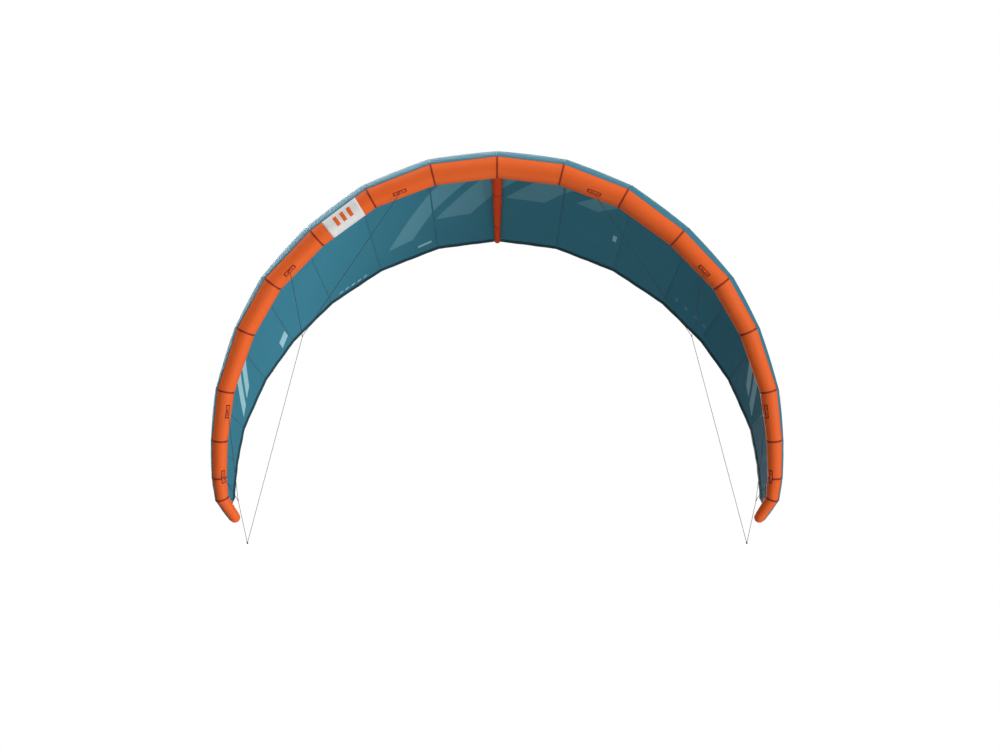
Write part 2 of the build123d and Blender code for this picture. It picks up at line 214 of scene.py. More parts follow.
def ring_axes(index, side):
    """Unit vectors in a joint's mitre: out of the arch, and ahead."""
    direction = joint_direction(index, side)
    outward = rib_normal(index, side)
    ahead = outward.cross(direction) * -side
    return outward, ahead.normalized()


RINGS = {
    side: [(np.array(tube_joint(k, side)), *map(np.array, ring_axes(k, side))) for k in range(LAST + 1)]
    for _, side in SIDES
}


def tube_point(side, segment, along, angle, lift=0.0):
    """Point of the leading-edge cover; angle 0 is out of the arch, 90 straight ahead.

    The cover is nipped in at its seams, with small creases that fade away from them.
    A place beyond the segment's outer end is on the next segment."""
    if along > 1 and segment < LAST - 1:
        along = (along - 1) * SEGMENT_LENGTHS[segment] / SEGMENT_LENGTHS[segment + 1]
        segment += 1
    points = []
    for k in (segment, segment + 1):
        centre, outward, ahead = RINGS[side][k]
        sine, cosine = radial(angle)
        points.append((centre, outward * cosine + ahead * sine, TUBE_RADII[k]))
    (c0, d0, r0), (c1, d1, r1) = points
    centre = c0 * (1 - along) + c1 * along
    out = d0 * (1 - along) + d1 * along
    radius = r0 * (1 - along) + r1 * along
    length = SEGMENT_LENGTHS[segment]
    crease = 0.0
    nip = 0.0
    for gap, seed in ((along * length, segment), ((1 - along) * length, segment + 1)):
        hollow = 0.3 + 0.7 * smooth(60, 180, min(angle % 360, 360 - angle % 360))
        turn = math.radians(angle)
        wave = math.sin(turn * 18 + seed * 1.7 + 1.2 * math.sin(turn * 3))
        crease += hollow * (1 + wave) * math.exp(-gap / CREASE_FADE) * smooth(0.0, 0.010, gap)
        nip += math.exp(-gap / NIP_FADE)
    return centre + out * (radius - NIP_DEPTH * nip + CREASE_DEPTH * crease + lift)


STRIP_SHARES = (-0.5, -0.25, 0, 0.25, 0.5)  # of a narrow strip's width, across it


def across_seam(side, index, gap):
    """Side, segment and place along it, at a signed distance from a seam."""
    if gap < 0 and index > 0:
        return side, index - 1, 1 + gap / SEGMENT_LENGTHS[index - 1]
    if gap < 0:
        return -side, 0, -gap / SEGMENT_LENGTHS[0]
    return side, index, gap / SEGMENT_LENGTHS[index]


# ------------------------------------------------------------------ mesh helpers
def add_object(name, vertices, faces, uvs=None):
    """A smooth-shaded mesh object; uvs holds one pair for each vertex, in metres of cloth."""
    mesh = bpy.data.meshes.new(name)
    mesh.from_pydata([tuple(v) for v in vertices], [], faces)
    mesh.polygons.foreach_set("use_smooth", [True] * len(mesh.polygons))
    if uvs is not None:
        layer = mesh.uv_layers.new(name="cloth")
        corners = np.empty(len(mesh.loops), dtype=np.int32)
        mesh.loops.foreach_get("vertex_index", corners)
        layer.data.foreach_set("uv", np.array(uvs, dtype=np.float32)[corners].ravel())
    mesh.update()
    thing = bpy.data.objects.new(name, mesh)
    bpy.context.scene.collection.objects.link(thing)
    return thing


def grid_faces(rows, columns, closed=False):
    """Quads of a grid of rows x columns vertices; closed joins the last column to the first."""
    faces = []
    for r in range(rows - 1):
        for c in range(columns if closed else columns - 1):
            d = (c + 1) % columns
            faces.append((r * columns + c, r * columns + d, (r + 1) * columns + d, (r + 1) * columns + c))
    return faces


def thicken(thing, thickness, offset=0.0):
    """Give a sheet its thickness."""
    solid = thing.modifiers.new("thickness", "SOLIDIFY")
    solid.thickness = thickness
    solid.offset = offset
    solid.use_even_offset = True
    return thing


def dress(thing, material, body, replaced=()):
    """Material, body and the CAD nodes that a piece stands for."""
    thing.data.materials.append(material)
    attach(thing, body)
    if replaced:
        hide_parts(*replaced)
    return thing


def only_used(vertices, faces, uvs):
    """The same mesh without the vertices that no face uses."""
    used = sorted({v for face in faces for v in face})
    order = {v: k for k, v in enumerate(used)}
    kept = [tuple(order[v] for v in face) for face in faces]
    return [vertices[v] for v in used], kept, [uvs[v] for v in used]


def loop_of_cord(name, points, radius, sides):
    """Round cord through a closed loop of points."""
    count = len(points)
    vertices = []
    across = None
    for k, point in enumerate(points):
        tangent = (points[(k + 1) % count] - points[k - 1]).normalized()
        if across is None:
            across = tangent.orthogonal().normalized()
        across = (across - tangent * across.dot(tangent)).normalized()
        other = tangent.cross(across)
        for step in range(sides):
            sine, cosine = radial(360 * step / sides)
            vertices.append(point + (across * cosine + other * sine) * radius)
    faces = grid_faces(count, sides, closed=True)
    last = (count - 1) * sides
    faces += [(last + k, last + (k + 1) % sides, (k + 1) % sides, k) for k in range(sides)]
    return add_object(name, vertices, faces)


# ------------------------------------------------------------------ materials
def linear(red, green, blue):
    """Scene-linear colour from 0 to 255 display values."""
    channels = [c / 255 for c in (red, green, blue)]
    return [c / 12.92 if c <= 0.04045 else ((c + 0.055) / 1.055) ** 2.4 for c in channels] + [1.0]


class Shader:
    """Short names for building one node material."""

    def __init__(self, name):
        self.material = bpy.data.materials.new(name)
        self.material.use_nodes = True
        self.tree = self.material.node_tree
        self.bsdf = self.tree.nodes["Principled BSDF"]

    def node(self, kind, **values):
        made = self.tree.nodes.new(kind)
        for key, value in values.items():
            setattr(made, key, value)
        return made

    def link(self, source, target):
        self.tree.links.new(source, target)

    def math(self, operation, first, second=None):
        made = self.node("ShaderNodeMath", operation=operation)
        for socket, value in zip(made.inputs, (first, second)):
            if value is None:
                continue
            if isinstance(value, (int, float)):
                socket.default_value = value
            else:
                self.link(value, socket)
        return made.outputs[0]

    def noise(self, vector, scale, detail=4.0, roughness=0.55):
        made = self.node("ShaderNodeTexNoise")
        made.inputs["Scale"].default_value = scale
        made.inputs["Detail"].default_value = detail
        made.inputs["Roughness"].default_value = roughness
        self.link(vector, made.inputs["Vector"])
        return made.outputs["Fac"]

    def span(self, value, low, high, to_low, to_high):
        made = self.node("ShaderNodeMapRange")
        for socket, number in zip(made.inputs[1:5], (low, high, to_low, to_high)):
            socket.default_value = number
        self.link(value, made.inputs[0])
        return made.outputs[0]

    def mix(self, factor, first, second):
        made = self.node("ShaderNodeMix", data_type="RGBA")
        self.link(factor, made.inputs["Factor"])
        for socket, value in ((made.inputs[6], first), (made.inputs[7], second)):
            if isinstance(value, (list, tuple)):
                socket.default_value = value
            else:
                self.link(value, socket)
        return made.outputs[2]

    def set(self, **values):
        for key, value in values.items():
            self.bsdf.inputs[key.replace("_", " ")].default_value = value

    def bump(self, height, distance, strength=1.0, under=None):
        made = self.node("ShaderNodeBump")
        made.inputs["Distance"].default_value = distance
        made.inputs["Strength"].default_value = strength
        self.link(height, made.inputs["Height"])
        if under is not None:
            self.link(under, made.inputs["Normal"])
        return made.outputs[0]


WEAVE_PITCH = 0.0008
WEAVE_DEPTH = 0.000016
STITCH_PITCH = 0.0042
STITCH_WIDTH = 0.0009
STITCH_DEPTH = 0.0003


def cloth(
    name, colour, worn, pitch, grid_depth, crease_depth,
    rough=(0.45, 0.62), shine=0.3, prints=(), stitches=(),
):
    """Coated woven cloth: fine weave, a ripstop grid of the given pitch, crinkles and uneven fading.

    Each print is a side, the bar's two distances from the centre, where it starts and ends
    behind the leading edge, how far it leans outwards in each metre, and its colour.
    Each row of stitches is the cloth axis it runs square to, its place on that axis and its colour."""
    s = Shader(name)
    uv = s.node("ShaderNodeUVMap", uv_map="cloth").outputs[0]
    place = s.node("ShaderNodeTexCoord").outputs["Object"]
    parts = s.node("ShaderNodeSeparateXYZ")
    s.link(uv, parts.inputs[0])
    lines = []
    threads = []
    for axis in (0, 1):
        turn = s.math("FRACT", s.math("MULTIPLY", parts.outputs[axis], 1 / pitch))
        from_middle = s.math("ABSOLUTE", s.math("SUBTRACT", turn, 0.5))
        lines.append(s.span(from_middle, 0.38, 0.5, 0.0, 1.0))
        wave = s.math("SINE", s.math("MULTIPLY", parts.outputs[axis], 2 * math.pi / WEAVE_PITCH))
        threads.append(wave)
    grid = s.math("MAXIMUM", lines[0], lines[1])
    weave = s.math("MULTIPLY", threads[0], threads[1])
    fade = s.noise(place, 2.3, 5.0, 0.6)
    fleck = s.noise(place, 190.0, 2.0, 0.5)
    tone = s.math("ADD", s.span(fade, 0.3, 0.7, 0.0, 0.6), s.span(fleck, 0.3, 0.7, 0.0, 0.4))
    base = s.mix(tone, colour, worn)
    for side, near, far, front, back, lean, ink in prints:
        shift = s.math("MULTIPLY", s.math("SUBTRACT", parts.outputs[1], front), lean)
        span = s.math("SUBTRACT", s.math("MULTIPLY", parts.outputs[0], side), shift)
        between = s.math("MULTIPLY", s.math("GREATER_THAN", span, near), s.math("LESS_THAN", span, far))
        behind = s.math("GREATER_THAN", parts.outputs[1], front)
        before = s.math("LESS_THAN", parts.outputs[1], back)
        base = s.mix(s.math("MULTIPLY", between, s.math("MULTIPLY", behind, before)), base, ink)
    sewn = []
    for axis, place_on_axis, thread in stitches:
        aside = s.math("ABSOLUTE", s.math("SUBTRACT", parts.outputs[axis], place_on_axis))
        dash = s.math("FRACT", s.math("MULTIPLY", parts.outputs[1 - axis], 1 / STITCH_PITCH))
        on_row = s.math("LESS_THAN", aside, STITCH_WIDTH / 2)
        sewn.append(s.math("MULTIPLY", on_row, s.math("LESS_THAN", dash, 0.65)))
        base = s.mix(sewn[-1], base, thread)
    faded = s.node("ShaderNodeHueSaturation")
    faded.inputs["Value"].default_value = 0.88
    s.link(base, faded.inputs["Color"])
    s.link(s.mix(s.math("MULTIPLY", grid, 0.5), base, faded.outputs[0]), s.bsdf.inputs["Base Color"])
    folds = s.noise(place, 13.0, 4.0, 0.5)
    crinkle = s.math("ADD", folds, s.math("MULTIPLY", s.noise(place, 55.0, 3.0), 0.35))
    s.link(s.span(crinkle, 0.4, 0.9, rough[0], rough[1]), s.bsdf.inputs["Roughness"])
    relief = s.bump(crinkle, crease_depth)
    relief = s.bump(grid, grid_depth, under=relief)
    for mask in sewn:
        relief = s.bump(mask, STITCH_DEPTH, under=relief)
    s.link(s.bump(weave, WEAVE_DEPTH, 0.6, under=relief), s.bsdf.inputs["Normal"])
    s.set(Specular_IOR_Level=shine)
    return s.material


def webbing(name, colour, other, pitch, rough=0.75):
    """Ribbed tape or braid: diagonal threads across the piece and a little fading."""
    s = Shader(name)
    place = s.node("ShaderNodeTexCoord").outputs["Object"]
    wave = s.node("ShaderNodeTexWave", wave_type="BANDS", bands_direction="DIAGONAL")
    wave.inputs["Scale"].default_value = 1 / pitch
    wave.inputs["Distortion"].default_value = 1.2
    wave.inputs["Detail Scale"].default_value = 2.0
    s.link(place, wave.inputs["Vector"])
    fade = s.noise(place, 40.0, 3.0)
    mixed = s.mix(s.math("MULTIPLY", wave.outputs["Fac"], fade), colour, other)
    s.link(mixed, s.bsdf.inputs["Base Color"])
    s.link(s.span(fade, 0.3, 0.7, rough - 0.08, rough + 0.08), s.bsdf.inputs["Roughness"])
    s.link(s.bump(wave.outputs["Fac"], 0.0003), s.bsdf.inputs["Normal"])
    s.set(Specular_IOR_Level=0.2)
    return s.material


def moulded(name, colour, worn, rough):
    """Moulded flexible plastic: fine grain, paler on rubbed places."""
    s = Shader(name)
    place = s.node("ShaderNodeTexCoord").outputs["Object"]
    grain = s.noise(place, 900.0, 3.0)
    rub = s.noise(place, 45.0, 4.0)
    s.link(s.mix(s.span(rub, 0.5, 0.75, 0.0, 0.8), colour, worn), s.bsdf.inputs["Base Color"])
    s.link(s.span(rub, 0.3, 0.7, rough - 0.07, rough + 0.07), s.bsdf.inputs["Roughness"])
    s.link(s.bump(grain, 0.00012), s.bsdf.inputs["Normal"])
    s.set(Specular_IOR_Level=0.5)
    return s.material


def film(name, colour, worn):
    """Thin milky bladder film."""
    s = Shader(name)
    place = s.node("ShaderNodeTexCoord").outputs["Object"]
    cloud = s.noise(place, 18.0, 4.0)
    s.link(s.mix(cloud, colour, worn), s.bsdf.inputs["Base Color"])
    s.link(s.span(cloud, 0.3, 0.7, 0.22, 0.4), s.bsdf.inputs["Roughness"])
    s.link(s.bump(cloud, 0.002), s.bsdf.inputs["Normal"])
    s.set(Subsurface_Weight=0.15, Subsurface_Scale=0.005)
    return s.material


PRINT_TEAL = linear(98, 160, 178)
PALE_TEAL = linear(158, 208, 218)
MIDDLE_BARS = ((-0.22, -0.05, 1.55), (-0.52, -0.30, 1.40), (-0.86, -0.62, 1.20), (-1.12, -0.98, 1.08))
TIP_BARS = ((1.90, 1.98), (2.02, 2.10))
TIP_BAR_ENDS = ((-1, 0.62, 0.96), (1, 0.60, 0.94))
BAR_LEAN = 0.60

# Plain slanted bars across the middle and near the tips, then blank labels and two rows of dashes.
PRINTS = (
    *((-1, near, far, 0.25, back, BAR_LEAN, PRINT_TEAL) for near, far, back in MIDDLE_BARS),
    *(
        (side, near, far, front, back, BAR_LEAN, PALE_TEAL)
        for side, front, back in TIP_BAR_ENDS
        for near, far in TIP_BARS
    ),
    (-1, 1.635, 1.72, 1.26, 1.35, 0.0, PALE_TEAL),
    (-1, 0.44, 0.535, 1.665, 1.69, 0.0, PALE_TEAL),
    (1, 0.75, 0.775, 1.29, 1.37, 0.0, PALE_TEAL),
    *(
        (-1, 0.92 + 0.05 * k, 0.95 + 0.05 * k, 1.655 - 0.012 * k, 1.667 - 0.012 * k, 0.0, PALE_TEAL)
        for k in range(5)
    ),
    *(
        (1, 1.30 + 0.09 * k, 1.325 + 0.09 * k, 1.41 - 0.04 * k, 1.44 - 0.04 * k, 0.0, PRINT_TEAL)
        for k in range(4)
    ),
)

# Rows of stitches: the cloth axis that they run square to, their place on it, and the thread.
RED_THREAD = linear(206, 92, 56)
TEAL_THREAD = linear(104, 168, 186)
SEAM_ROWS = ((0, -0.0036, RED_THREAD), (0, 0.0036, RED_THREAD))
TAPE_ROWS = ((0, -0.0032, TEAL_THREAD), (0, 0.0032, TEAL_THREAD))
FLANGE_ROWS = ((1, 0.004, TEAL_THREAD), (1, 0.012, TEAL_THREAD))
HEM_ROWS = ((1, -0.026, TEAL_THREAD), (1, -0.004, TEAL_THREAD))

ORANGE = cloth(
    "le_dacron", linear(243, 102, 38), linear(246, 110, 50), 0.006, 0.00006, 0.0022, shine=0.15,
)
STRUT_RED = cloth(
    "strut_dacron", linear(250, 78, 30), linear(252, 86, 38), 0.006, 0.00006, 0.0022, shine=0.1,
)
TEAL = cloth(
    "canopy_ripstop", linear(56, 128, 150), linear(62, 134, 156), 0.005, 0.00003, 0.0005,
    (0.60, 0.66), 0.25, PRINTS, FLANGE_ROWS,
)
HEM_TEAL = cloth(
    "hem_tape", linear(22, 66, 80), linear(28, 74, 88), 0.003, 0.00008, 0.0010, stitches=HEM_ROWS,
)
SEAM_TEAL = cloth(
    "seam_tape", linear(48, 114, 134), linear(54, 120, 140), 0.003, 0.00008, 0.0008, stitches=TAPE_ROWS,
)
SEAM_RED = cloth(
    "seam_cord_red", linear(142, 36, 10), linear(152, 42, 14), 0.003, 0.00008, 0.0006, stitches=SEAM_ROWS,
)
WHITE_CLOTH = cloth("white_panel", linear(232, 232, 230), linear(240, 240, 238), 0.006, 0.00006, 0.0018)
TAB_CLOTH = cloth("tab_cloth", linear(240, 98, 38), linear(244, 106, 48), 0.004, 0.00006, 0.0008)
TAB_RED = webbing("tab_webbing", linear(104, 20, 10), linear(126, 32, 18), 0.0016)
CORD_GREY = webbing("bridle_braid", linear(50, 54, 58), linear(80, 84, 90), 0.0022, 0.65)
VALVE_GREY = moulded("valve_rubber", linear(38, 40, 43), linear(78, 80, 84), 0.5)
CAP_GREY = moulded("valve_cap_rubber", linear(58, 60, 64), linear(96, 98, 102), 0.46)
BLADDER_FILM = film("bladder_film", linear(226, 229, 224), linear(238, 240, 236))


# ------------------------------------------------------------------ camera
CAMERA_RISE = 12.7  # degrees that the view looks up
CAMERA_DISTANCE = 18.0
CAMERA_LENS = 104.72
CAMERA_DROP = 1.290  # of the view's middle below the leading edge, square to the view
CAMERA_SHIFT = 0.018  # to the right


def make_camera():
    sine, cosine = radial(CAMERA_RISE)
    ahead = Vector((0, cosine, sine))
    up = Vector((0, -sine, cosine))
    data = bpy.data.cameras.new("camera")
    data.lens = CAMERA_LENS
    data.sensor_width = 36.0
    data.clip_start = 0.1
    data.clip_end = 400.0
    camera = bpy.data.objects.new("camera", data)
    camera.location = Vector((CAMERA_SHIFT, 0, 0)) - ahead * CAMERA_DISTANCE - up * CAMERA_DROP
    camera.rotation_mode = "QUATERNION"
    camera.rotation_quaternion = ahead.to_track_quat("-Z", "Y")
    bpy.context.scene.collection.objects.link(camera)
    bpy.context.scene.camera = camera


make_camera()


# ------------------------------------------------------------------ bridle
def mirrored(point, side):
    """A point of the right-hand side on the side asked for."""
    return Vector((side * point.x, point.y, point.z))


def tab_frame(number, side):
    """Where a bridle patch's eye stands, and the way out of the tube there."""
    segment, along, angle = TAB_PLACES[number - 1]
    foot = Vector(tube_point(side, segment - 1, along, 90 + angle))
    top = Vector(tube_point(side, segment - 1, along, 90 + angle, 0.1))
    return foot, (top - foot).normalized()


KNOT_STEPS = 72


def trefoil(name, centre, size, radius):
    """A small round knot in the line's own cord."""
    points = []
    for k in range(KNOT_STEPS):
        turn = 360 * k / KNOT_STEPS
        sine, cosine = radial(turn)
        sine2, cosine2 = radial(2 * turn)
        lean = -1.4 * math.sin(math.radians(3 * turn))
        points.append(centre + Vector((sine + 2 * sine2, lean, cosine - 2 * cosine2)) * (size / 3))
    return loop_of_cord(name, points, radius, sides=10)


def taut_line(name, start, end, diameter):
    """A straight stretch of braided line as one smooth curve."""
    data = bpy.data.curves.new(name, "CURVE")
    data.dimensions = "3D"
    data.bevel_depth = diameter / 2
    data.bevel_resolution = 5
    data.use_fill_caps = True
    data.resolution_u = 16
    near = (end - start).normalized() * diameter * 6
    spline = data.splines.new("NURBS")
    spline.points.add(3)
    for point, place in zip(spline.points, (start, start + near, end - near, end)):
        point.co = (*place, 1)
    spline.order_u = 3
    spline.use_endpoint_u = True
    line = bpy.data.objects.new(name, data)
    bpy.context.scene.collection.objects.link(line)
    return line


EYE_HEIGHT = 0.0060  # middle of the webbing eye above the tube
LINE_ENDS = {1: "upper", 2: "upper", 3: "lower", 4: "lower"}

for side_name, side in SIDES:
    swinging = f"{side_name}_bridle"
    for place, centre in (("upper", UPPER_KNOT), ("lower", LOWER_KNOT)):
        name = f"bridle_knot_{place}_{side_name}"
        ball = trefoil(name, mirrored(centre, side), size=0.0038, radius=0.0013)
        dress(ball, CORD_GREY, "kite", ["bridle_knots"])
    end_knot = mirrored(END_KNOT, side)
    ends = {"upper": mirrored(UPPER_KNOT, side), "lower": mirrored(LOWER_KNOT, side)}
    for number, place in LINE_ENDS.items():
        foot, out = tab_frame(number, side)
        start = foot + out * EYE_HEIGHT
        line = taut_line(f"line_{number}_{side_name}", start, ends[place], LINE_DIAMETER)
        dress(line, CORD_GREY, "kite", [f"bridle_line_{number}_{side_name}"])
    for place, node in (("upper", "main"), ("lower", "tip")):
        line = taut_line(f"line_{node}_{side_name}", ends[place], end_knot, LINE_DIAMETER)
        dress(line, CORD_GREY, swinging, [f"bridle_line_{node}_{side_name}"])
    ball = trefoil(f"bridle_end_knot_{side_name}", end_knot, size=0.0050, radius=0.0015)
    dress(ball, CORD_GREY, swinging, [f"bridle_end_knot_{side_name}"])


# ------------------------------------------------------------------ leading edge
AROUND = 96
ALONG = 26
TIP_RINGS = 12
VALVE_STEP = 0.01  # between the cover's stations near the valve
SEAM_WIDTH = 0.012


def cover_stations(count):
    """Places along a segment, close together near its two seams."""
    turns = [math.cos(math.pi * k / count) for k in range(count + 1)]
    return [0.5 - 0.5 * turn * (0.85 + 0.15 * abs(turn)) for turn in turns]


def round_tip(side, vertices, faces, uvs):
    """Add the hemisphere that closes the last segment."""
    centre, outward, ahead = RINGS[side][LAST]
    beyond = np.array(joint_direction(LAST, side))
    radius = TUBE_RADII[LAST] - COVER_THICKNESS / 2
    base = len(vertices) - AROUND
    for r in range(1, TIP_RINGS):
        sine, cosine = radial(90 * r / TIP_RINGS)
        for k in range(AROUND):
            up, flat = radial(360 * k / AROUND)
            spoke = outward * flat + ahead * up
            vertices.append(centre + (spoke * cosine + beyond * sine) * radius)
            uvs.append((STARTS[LAST] + radius * sine, math.radians(360 * k / AROUND) * radius * cosine))
    tip = len(vertices)
    vertices.append(centre + beyond * radius)
    uvs.append((STARTS[LAST] + radius, 0))
    for face in grid_faces(TIP_RINGS, AROUND, closed=True):
        faces.append(tuple(base + v for v in face))
    ring = tip - AROUND
    faces += [(ring + k, ring + (k + 1) % AROUND, tip) for k in range(AROUND)]


def make_segment(side_name, side, segment):
    """Cloth cover of one segment, with a rounded end at the tip and a hole for the valve."""
    stations = cover_stations(ALONG)
    has_valve = side == 1 and segment == 0
    if has_valve:
        stations = [place for place in stations if abs(place - VALVE_PLACE) > 7 * VALVE_STEP]
        stations = sorted(stations + [VALVE_PLACE + VALVE_STEP * k for k in range(-6, 7)])
    vertices, uvs = [], []
    for along in stations:
        for k in range(AROUND):
            angle = 360 * k / AROUND
            vertices.append(tube_point(side, segment, along, angle, -COVER_THICKNESS / 2))
            half_turn = math.radians(abs((angle + 180) % 360 - 180))
            span = STARTS[segment] + along * SEGMENT_LENGTHS[segment]
            uvs.append((span, half_turn * TUBE_RADII[segment]))
    faces = grid_faces(len(stations), AROUND, closed=True)
    if has_valve:
        seat = tube_point(side, segment, VALVE_PLACE, VALVE_ANGLE)
        gaps = [np.linalg.norm(np.mean([vertices[v] for v in face], axis=0) - seat) for face in faces]
        faces = [face for face, gap in zip(faces, gaps) if gap > VALVE_OPENING]
    if segment == LAST - 1:
        round_tip(side, vertices, faces, uvs)
    name = f"le_cover_{segment + 1}_{side_name}"
    return thicken(add_object(name, *only_used(vertices, faces, uvs)), COVER_THICKNESS)


def tube_strip(name, side, segment, along, angles, lift, thickness, rows, columns):
    """A patch of cloth that lies on the leading edge between two places and two angles."""
    vertices, uvs = [], []
    for r in range(rows + 1):
        place = along[0] + (along[1] - along[0]) * r / rows
        for c in range(columns + 1):
            angle = angles[0] + (angles[1] - angles[0]) * c / columns
            vertices.append(tube_point(side, segment, place, angle, lift))
            uvs.append((place * SEGMENT_LENGTHS[segment], math.radians(angle) * TUBE_RADII[segment]))
    return thicken(add_object(name, vertices, grid_faces(rows + 1, columns + 1), uvs), thickness)


def seam_ring(name, side, index, lift, thickness):
    """Sewn seam that follows the mitre between two leading-edge tubes."""
    vertices, uvs = [], []
    for share in STRIP_SHARES:
        place = across_seam(side, index, share * SEAM_WIDTH)
        for k in range(AROUND):
            angle = 360 * k / AROUND
            vertices.append(tube_point(*place, angle, lift))
            uvs.append((share * SEAM_WIDTH, math.radians(angle) * TUBE_RADII[index]))
    faces = grid_faces(len(STRIP_SHARES), AROUND, closed=True)
    return thicken(add_object(name, vertices, faces, uvs), thickness)


for side_name, side in SIDES:
    for segment in range(LAST):
        cover = make_segment(side_name, side, segment)
        dress(cover, ORANGE, "kite", [f"le_segment_{segment + 1}_{side_name}"])
    for index in range(0 if side == 1 else 1, LAST):
        ring = seam_ring(f"le_seam_{index}_{side_name}", side, index, lift=0.0006, thickness=0.0009)
        dress(ring, SEAM_RED, "kite")

# A white panel with three plain bars stands on the third segment of the left side.
PANEL_SEGMENT = 2
PANEL_BARS = ((0.34, 0.40), (0.46, 0.52), (0.58, 0.64))
panel = tube_strip(
    "le_white_panel", -1, PANEL_SEGMENT, along=(0.20, 0.80), angles=(28, 196),
    lift=0.0004, thickness=0.0005, rows=24, columns=48,
)
dress(panel, WHITE_CLOTH, "kite")
for number, along in enumerate(PANEL_BARS, 1):
    bar = tube_strip(
        f"le_panel_bar_{number}", -1, PANEL_SEGMENT, along, angles=(72, 124),
        lift=0.0010, thickness=0.0004, rows=8, columns=24,
    )
    dress(bar, ORANGE, "kite")


# ------------------------------------------------------------------ bridle patches
TAB_BORDER = 0.0048
STRAP_SIZE = (0.060, 0.0030)
EYE_HALF_LENGTH = 0.0095
EYE_WIDTH = 0.0078
EYE_FOOT = 0.0010
EYE_RISE = 0.0076
EYE_THICKNESS = 0.0014


def patch_on_tube(name, side, number, length, width, lift, thickness, border=None):
    """Rectangle of cloth round a bridle patch's middle, or only a border of the given width."""
    segment, along, angle = TAB_PLACES[number - 1]
    index = segment - 1
    radius = TUBE_RADII[index] * (1 - along) + TUBE_RADII[index + 1] * along
    long_share = length / SEGMENT_LENGTHS[index]
    wide_angle = math.degrees(width / radius)
    rows, columns = 28, 12
    vertices, uvs = [], []
    for r in range(rows + 1):
        for c in range(columns + 1):
            share = (r / rows - 0.5) * long_share
            turn = (c / columns - 0.5) * wide_angle
            vertices.append(tube_point(side, index, along + share, 90 + angle + turn, lift))
            uvs.append((share * SEGMENT_LENGTHS[index], math.radians(turn) * radius))
    faces = grid_faces(rows + 1, columns + 1)
    if border:
        middles = [np.abs(np.mean([uvs[v] for v in face], axis=0)) for face in faces]
        faces = [
            face for face, (x, y) in zip(faces, middles)
            if x >= length / 2 - border or y >= width / 2 - border
        ]
    return thicken(add_object(name, *only_used(vertices, faces, uvs)), thickness)


def webbing_eye(name, side, number):
    """Folded webbing that stands up from the patch as an arch."""
    segment = TAB_PLACES[number - 1][0]
    foot, out = tab_frame(number, side)
    run = segment_direction(segment - 1, side)
    wide = run.cross(out).normalized()
    vertices = []
    rows = 20
    for r in range(rows + 1):
        sine, cosine = radial(180 * r / rows)
        place = foot - run * (EYE_HALF_LENGTH * cosine) + out * (EYE_FOOT + EYE_RISE * sine**0.7)
        for share in (-0.5, -0.17, 0.17, 0.5):
            vertices.append(place + wide * EYE_WIDTH * share)
    return thicken(add_object(name, vertices, grid_faces(rows + 1, 4)), EYE_THICKNESS)


for side_name, side in SIDES:
    for number in range(1, len(TAB_PLACES) + 1):
        tag = f"{number}_{side_name}"
        size = (TAB_LENGTH, TAB_WIDTH)
        base = patch_on_tube(f"tab_base_{tag}", side, number, *size, lift=0.0008, thickness=0.0008)
        dress(base, TAB_CLOTH, "kite", ["bridle_tabs"])
        over = {"lift": 0.0014, "thickness": 0.0006}
        border = patch_on_tube(f"tab_border_{tag}", side, number, *size, border=TAB_BORDER, **over)
        dress(border, TAB_RED, "kite")
        strap = patch_on_tube(f"tab_strap_{tag}", side, number, *STRAP_SIZE, **over)
        dress(strap, TAB_RED, "kite")
        dress(webbing_eye(f"tab_eye_{tag}", side, number), TAB_CLOTH, "kite")


# ------------------------------------------------------------------ canopy
BAY_ACROSS = (0, 0.02, 0.06, 0.13, 0.22, 0.33, 0.44, 0.56, 0.67, 0.78, 0.87, 0.94, 0.98)
CHORD_ROWS = 84
CHORD_CROWDING = 1.25
TAPE_WIDTH = 0.010
TAPE_LIFT = 0.0008
TAPE_THICKNESS = 0.0005

# Bay and place across it of the canopy's columns on one side, from the centre to the tip.
COLUMNS = [(bay, across) for bay in range(LAST) for across in BAY_ACROSS] + [(LAST - 1, 1.0)]


def chord_shares():
    """Shares of a rib's length, closer together near the tube."""
    return [(k / CHORD_ROWS) ** CHORD_CROWDING for k in range(CHORD_ROWS + 1)]


def column_length(side, bay, across):
    """Length of the canopy from its flange to the trailing edge."""
    return RIBS[side][bay][1] * (1 - across) + RIBS[side][bay + 1][1] * across


def make_canopy():
    """The whole canopy, one sheet of cloth from tip to tip."""
    columns = [(-1, *place) for place in reversed(COLUMNS[1:])] + [(1, *place) for place in COLUMNS]
    shares = chord_shares()
    sheet = [canopy_column(side, bay, across, shares) for side, bay, across in columns]
    vertices, uvs = [], []
    for row, share in enumerate(shares):
        for column, (side, bay, across) in zip(sheet, columns):
            vertices.append(column[row])
            span = side * (STARTS[bay] + across * SEGMENT_LENGTHS[bay])
            uvs.append((span, share * column_length(side, bay, across)))
    faces = [tuple(reversed(f)) for f in grid_faces(len(shares), len(columns))]
    return thicken(add_object("canopy", vertices, faces, uvs), CLOTH_THICKNESS)


canopy = make_canopy()
canopy_nodes = [f"canopy_panel_{k}_{name}" for k in range(1, LAST_PLAIN_BAY + 1) for name, _ in SIDES]
canopy_nodes += [f"canopy_tip_panel_{name}" for name, _ in SIDES]
dress(canopy, TEAL, "kite", canopy_nodes)


def seam_tape(name, side, index, lift):
    """Flat tape along a seam between two bays."""
    shares = chord_shares()
    vertices, uvs = [], []
    for share in shares:
        for part in STRIP_SHARES:
            place = across_seam(side, index, part * TAPE_WIDTH)
            vertices.append(canopy_point(*place, share, lift))
            uvs.append((part * TAPE_WIDTH, share * RIBS[side][index][1]))
    faces = grid_faces(len(shares), len(STRIP_SHARES))
    return thicken(add_object(name, vertices, faces, uvs), TAPE_THICKNESS)


